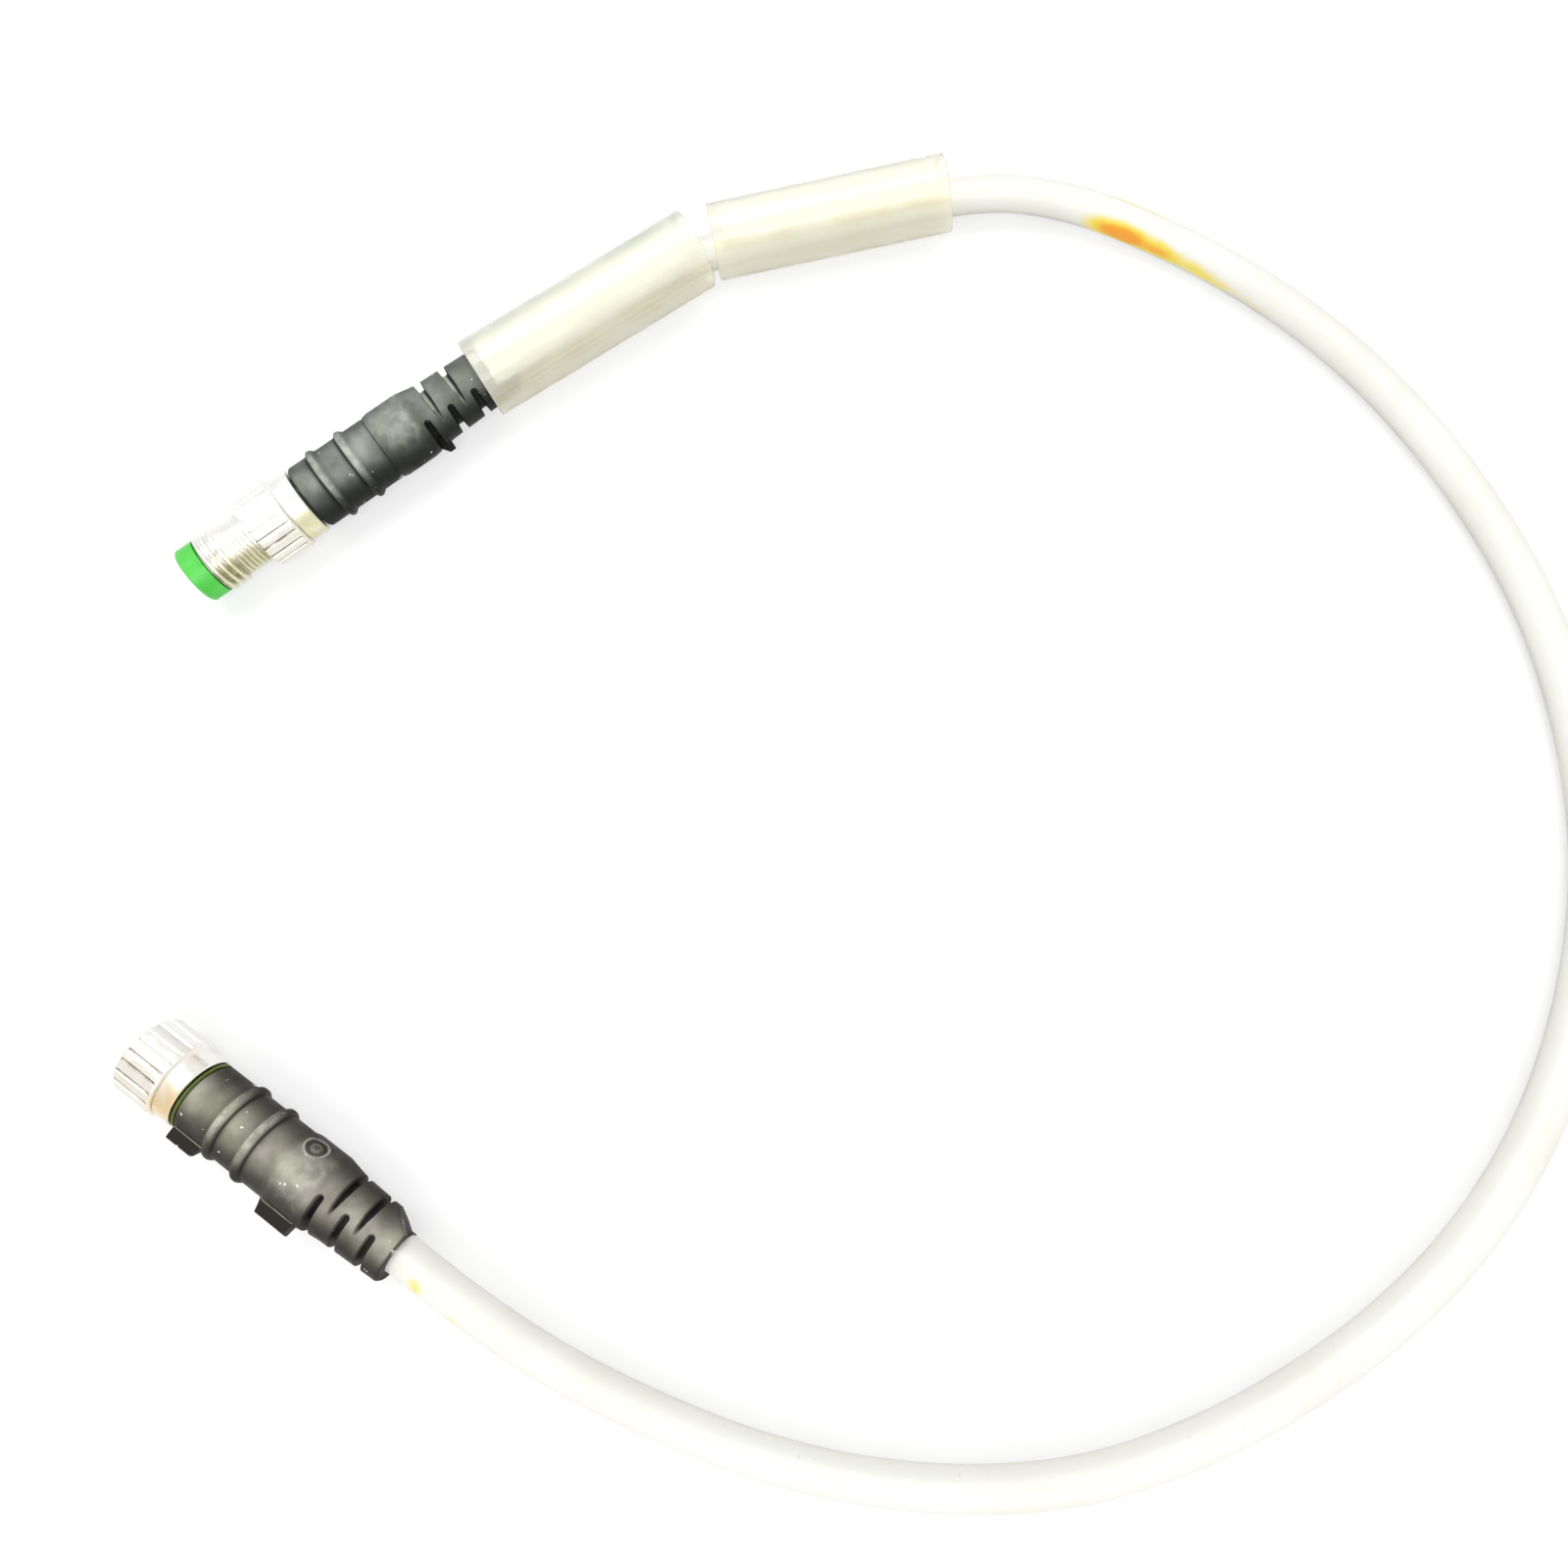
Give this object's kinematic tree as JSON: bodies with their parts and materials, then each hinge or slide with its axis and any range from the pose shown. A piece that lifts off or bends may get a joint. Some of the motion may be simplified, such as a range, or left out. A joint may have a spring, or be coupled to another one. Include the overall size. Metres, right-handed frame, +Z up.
{
  "type": "m8 sensor patch cord",
  "caption": "Short round signal cord with a screw-locking male plug, a matching female socket and two clear label sleeves behind the plug.",
  "frame": {"origin": "centre of the box round the two connectors and the label sleeves, on the surface the cord lies on; the cable itself is not counted", "axes": "+Z up from the surface; +Y from the female socket towards the label sleeves; +X towards the cable's loop"},
  "size_m": [0.1675, 0.1578, 0.0102],
  "materials": {
    "cable_jacket": "satin moulded PVC",
    "grip_black": "satin moulded polyurethane",
    "carrier_green": "smooth moulded",
    "premould_ivory": "moulded, hidden",
    "coupling_metal": "nickel-plated, satin",
    "contact_gold": "gold-plated",
    "wire_brown": "wire insulation",
    "wire_blue": "wire insulation",
    "wire_black": "wire insulation",
    "strand_copper": "bare copper strands",
    "seal_black": "smooth",
    "washer_green": "matte",
    "sleeve_clear": "clear flexible PVC",
    "label_white": "blank white card"
  },
  "bodies": {
    "cord_set": {"cable": "cable_jacket", "male_grip": "grip_black", "male_jacket_end": "cable_jacket", "male_premould": "premould_ivory", "male_carrier": "carrier_green", "male_pins": "contact_gold", "male_wire_brown": "wire_brown", "male_wire_blue": "wire_blue", "male_wire_black": "wire_black", "male_strands": "strand_copper", "female_grip": "grip_black", "female_jacket_end": "cable_jacket", "female_premould": "premould_ivory", "female_carrier": "carrier_green", "female_contacts": "contact_gold", "female_wire_brown": "wire_brown", "female_wire_blue": "wire_blue", "female_wire_black": "wire_black", "female_strands": "strand_copper", "female_o_ring": "seal_black", "female_washer": "washer_green"},
    "coupling_screw": {"coupling_screw": "coupling_metal"},
    "coupling_nut": {"coupling_nut": "coupling_metal"},
    "label_sleeve_1": {"label_sleeve_1": "sleeve_clear"},
    "label_card_1": {"label_card_1": "label_white"},
    "label_sleeve_2": {"label_sleeve_2": "sleeve_clear"},
    "label_card_2": {"label_card_2": "label_white"}
  },
  "joints": [
    {"name": "coupling_screw_turn", "type": "hinge", "parent": "cord_set", "child": "coupling_screw", "pos_m": [-0.03326, 0.02373, 0.0048], "axis": [-0.8039, -0.5948, 0], "continuous": true},
    {"name": "coupling_nut_turn", "type": "hinge", "parent": "cord_set", "child": "coupling_nut", "pos_m": [-0.04471, -0.045, 0.0048], "axis": [-0.8368, 0.5476, 0], "continuous": true},
    {"name": "label_sleeve_1_slide", "type": "slide", "parent": "cord_set", "child": "label_sleeve_1", "axis": [-0.8415, -0.5402, 0], "range_m": [0, 0.006]},
    {"name": "label_card_1_turn", "type": "hinge", "parent": "label_sleeve_1", "child": "label_card_1", "pos_m": [-0.0117, 0.03965, 0.0051], "axis": [0.8415, 0.5402, 0], "continuous": true},
    {"name": "label_sleeve_2_slide", "type": "slide", "parent": "cord_set", "child": "label_sleeve_2", "axis": [0.9836, 0.1805, 0], "range_m": [0, 0.008]},
    {"name": "label_card_2_turn", "type": "hinge", "parent": "label_sleeve_2", "child": "label_card_2", "pos_m": [0.01807, 0.05844, 0.0047], "axis": [0.9836, 0.1805, 0], "continuous": true}
  ]
}
